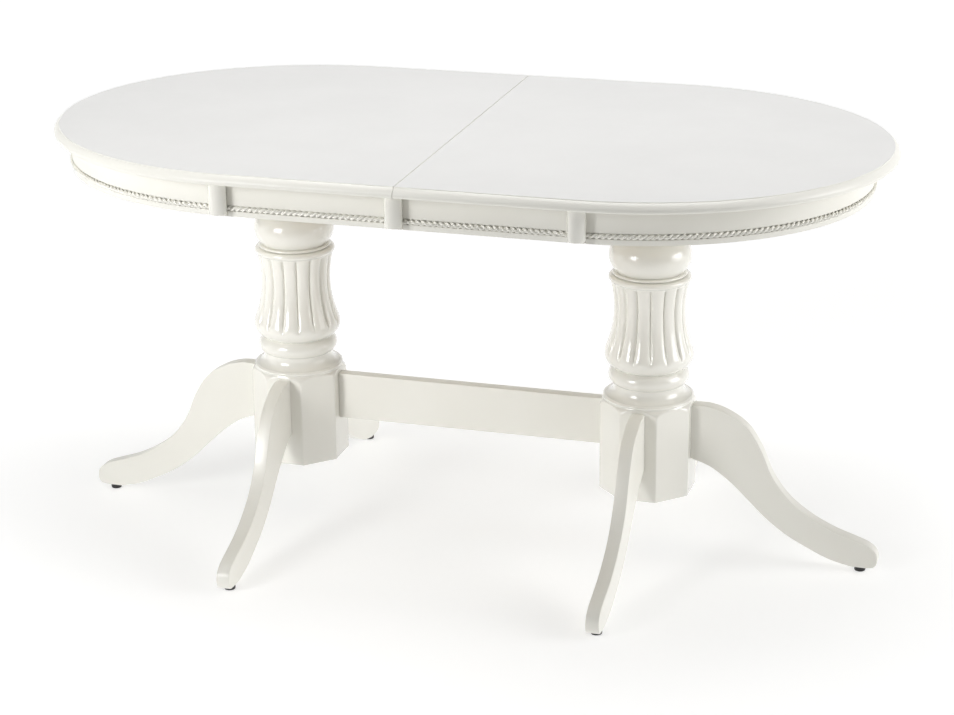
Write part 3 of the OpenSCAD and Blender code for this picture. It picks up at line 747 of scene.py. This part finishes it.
def leg_outline(reach):
    """A leg's outline in its own plane, clockwise from its root's top corner. Its toe is at reach
    from the column, and its root ends just inside the block."""
    shift = reach - LEG_TOE * MM
    rows = smooth(LEG_BACK, 7) + LEG_BACK[-1:] + smooth(LEG_BELLY, 7) + LEG_BELLY[-1:]
    points = [Vector((x * MM + shift, 0, z * MM)) for x, z in rows]
    root = table.block_half - 3 * MM
    points = [p for p in points if p.x > root + 3 * MM]
    return [Vector((root, 0, points[0].z))] + points + [Vector((root, 0, points[-1].z))]


def leg(name, cad, angle):
    """A leg cut from a board, every edge rounded, along the given direction from its column."""
    lo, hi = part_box(cad)
    along_y = abs(math.sin(angle)) > 0.5
    if along_y:
        reach = max(abs(hi.y), abs(lo.y))
    else:
        reach = max(abs(hi.x), abs(lo.x)) - table.column_x
    half_thick = min(hi.x - lo.x, hi.y - lo.y) / 2
    outline = leg_outline(reach)
    count = len(outline)
    inward = []
    for i in range(count):
        along = (outline[(i + 1) % count] - outline[i - 1]).normalized()
        inward.append(Vector((along.z, 0, -along.x)))
    turns = [math.radians(a) for a in (0, 22, 45, 68, 90)]
    edge = [(LEG_EASE + LEG_RIM, 0)]
    edge += [(LEG_EASE * (1 - math.sin(t)), LEG_EASE * (1 - math.cos(t))) for t in turns]
    levels = [(drawn, depth - half_thick) for drawn, depth in edge]
    levels += [(drawn, half_thick - depth) for drawn, depth in reversed(edge)]
    rings = [[p + n * drawn + Vector((0, y, 0)) for p, n in zip(outline, inward)]
             for drawn, y in levels]
    verts, faces = skin(rings)
    centre_x = -table.column_x if cad.startswith("left") else table.column_x
    place = Matrix.Translation((centre_x, 0, 0)) @ Matrix.Rotation(angle, 4, "Z")
    make(name, [place @ v for v in verts], faces, WHITE_Y if along_y else WHITE_X, "base",
         [cad], sharp=40)


for side in ("left", "right"):
    leg(f"{side}_front_curved_leg", f"{side}_front_leg", -PI / 2)
    leg(f"{side}_back_curved_leg", f"{side}_back_leg", PI / 2)
leg("left_end_curved_leg", "left_end_leg", PI)
leg("right_end_curved_leg", "right_end_leg", 0.0)


def rounded_rect(y0, y1, z0, z1, ease):
    """A rectangle's outline with rounded corners."""
    corners = [((y1 - ease, z0 + ease), -90), ((y1 - ease, z1 - ease), 0),
               ((y0 + ease, z1 - ease), 90), ((y0 + ease, z0 + ease), 180)]
    return [p for c, a in corners for p in arc(c, ease, a, a + 90, 4)]


def board(name, cad, material):
    """A straight board of the base with eased edges, in place of a CAD box."""
    ease = 1.5 * MM
    lo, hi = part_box(cad)
    mid, half = (lo + hi) / 2, (hi - lo) / 2
    section = rounded_rect(lo.y, hi.y, lo.z, hi.z, ease)
    rings = []
    for x, drawn in ((lo.x, ease), (lo.x + ease, 0), (hi.x - ease, 0), (hi.x, ease)):
        rings.append([Vector((x, mid.y + (y - mid.y) * (1 - drawn / half.y),
                              mid.z + (z - mid.z) * (1 - drawn / half.z))) for y, z in section])
    make(name, *skin(rings), material, "base", [cad])


board("stretcher_board", "stretcher", WHITE_X)
board("leaf_panel_lower", "leaf_lower", WHITE_TOP)
board("leaf_panel_upper", "leaf_upper", WHITE_TOP)


# ---------------------------------------------------------------- CAD pieces that stay

def paint(material, *names):
    """Give CAD pieces the material."""
    for name in names:
        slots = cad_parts[name].data.materials
        slots.clear()
        slots.append(material)


paint(WOOD_X, "front_rail", "back_rail", "leaf_battens", "front_left_runner",
      "back_left_runner", "front_right_runner", "back_right_runner", "seam_dowels",
      "left_glue_blocks", "right_glue_blocks")
paint(WHITE_X, "left_top_plate", "right_top_plate")
paint(WHITE_Y, "left_bearer", "right_bearer")
paint(STEEL, "glide_nails", "frame_bolts", "frame_nuts", "plate_screws", "rail_screws",
      "pinion_pins", "leaf_hinges", "left_racks", "right_racks", "left_screws", "right_screws",
      "latch_plates", "latch_pivots", "catches", "front_pinion", "back_pinion", "front_latch",
      "back_latch")
paint(BLACK, "floor_glides")


# ---------------------------------------------------------------- floor, light and camera

def floor():
    """A pale studio floor that runs out of sight. It glows a little: more further out, and less
    in front of the table."""
    size = 40.0
    glow_near, glow_far = 0.7, 7.0
    dim_from, dim_to, dimmed = -0.9, -2.0, 0.3
    mesh = bpy.data.meshes.new("floor")
    mesh.from_pydata([(-size, -size, 0), (size, -size, 0), (size, size, 0), (-size, size, 0)],
                     [], [(0, 1, 2, 3)])
    plane = bpy.data.objects.new("floor", mesh)
    bpy.context.collection.objects.link(plane)
    m = new_material("floor_white")
    place = m.place()
    reach = m.add("ShaderNodeVectorMath", operation="LENGTH")
    m.link(place, reach.inputs[0])
    span = m.add("ShaderNodeMapRange", From_Min=glow_near, From_Max=glow_far)
    m.link(reach.outputs["Value"], span.inputs["Value"])
    glow = m.ramp(span.outputs["Result"], (0.0, 0.52), (0.2, 0.70), (1.0, 1.0))
    front = m.add("ShaderNodeMapRange", From_Min=dim_to, From_Max=dim_from, To_Min=dimmed)
    m.link(m.split(place)["Y"], front.inputs["Value"])
    m.wire(Emission_Strength=m.math("MULTIPLY", glow, front.outputs["Result"]))
    m.set(Base_Color=(0.62, 0.62, 0.615, 1), Roughness=0.9, Specular_IOR_Level=0.0,
          Emission_Color=(1, 1, 1, 1))
    mesh.materials.append(m.owner)


def lamp(name, at, target, size, power, spread=180):
    """A soft box; a spread below 180 degrees is a grid on its front."""
    data = bpy.data.lights.new(name, "AREA")
    data.shape = "RECTANGLE"
    data.size, data.size_y = size
    data.energy = power
    data.spread = math.radians(spread)
    light = bpy.data.objects.new(name, data)
    bpy.context.collection.objects.link(light)
    light.location = at
    aim = Vector(target) - Vector(at)
    light.rotation_mode = "QUATERNION"
    light.rotation_quaternion = aim.to_track_quat("-Z", "Y")


def dome():
    """The studio round the table: faint light overhead and a bright wall behind."""
    world = Nodes(bpy.data.worlds.new("studio"))
    where = world.split(world.add("ShaderNodeTexCoord").outputs["Generated"])
    overhead = world.ramp(where["Z"], (0.0, 0.03), (0.3, 0.04), (1.0, 0.26))
    low = world.ramp(where["Z"], (0.0, 1.0), (0.3, 1.0), (0.55, 0.0))
    behind = world.ramp(where["Y"], (0.0, 0.0), (1.0, 0.91))
    wall = world.math("MULTIPLY", low, behind)
    world.wire(Color=world.math("ADD", overhead, wall))
    bpy.context.scene.world = world.owner


def studio():
    """Plain soft light, strongest from above and from the left."""
    dome()
    lamp("soft_box_left_side", (-3.2, -0.9, 1.3), (0, 0, 0.6), (1.6, 2.0), 9.5)
    lamp("soft_box_left", (-1.7, -2.7, 1.4), (-0.5, -0.3, 0.6), (1.2, 1.6), 5.8, 46)
    lamp("soft_box_right", (2.7, 0.1, 1.1), (0.6, -0.05, 0.45), (1.6, 2.0), 7.2, 60)
    lamp("soft_box_overhead", (0, 0.1, 3.6), (0, 0.1, 0.7), (3.0, 1.6), 57)


def camera():
    """The camera's place and direction, which were fitted with the table's proportions."""
    eye = Vector((1.2276, -3.9649, 1.8197))
    yaw, pitch, roll = 0.2972, 0.3443, -0.0115
    forward = Vector((-math.sin(yaw) * math.cos(pitch), math.cos(yaw) * math.cos(pitch),
                      -math.sin(pitch)))
    right = Vector((math.cos(yaw), math.sin(yaw), 0))
    up = right.cross(forward)
    turned_right = right * math.cos(roll) + up * math.sin(roll)
    turned_up = up * math.cos(roll) - right * math.sin(roll)
    data = bpy.data.cameras.new("camera")
    data.sensor_width = 36.0
    data.lens = 92.34
    cam = bpy.data.objects.new("camera", data)
    bpy.context.collection.objects.link(cam)
    turned = Matrix((turned_right, turned_up, -forward)).transposed()
    cam.matrix_world = Matrix.Translation(eye) @ turned.to_4x4()
    bpy.context.scene.camera = cam
    bpy.context.scene.view_settings.view_transform = "Standard"


floor()
studio()
camera()
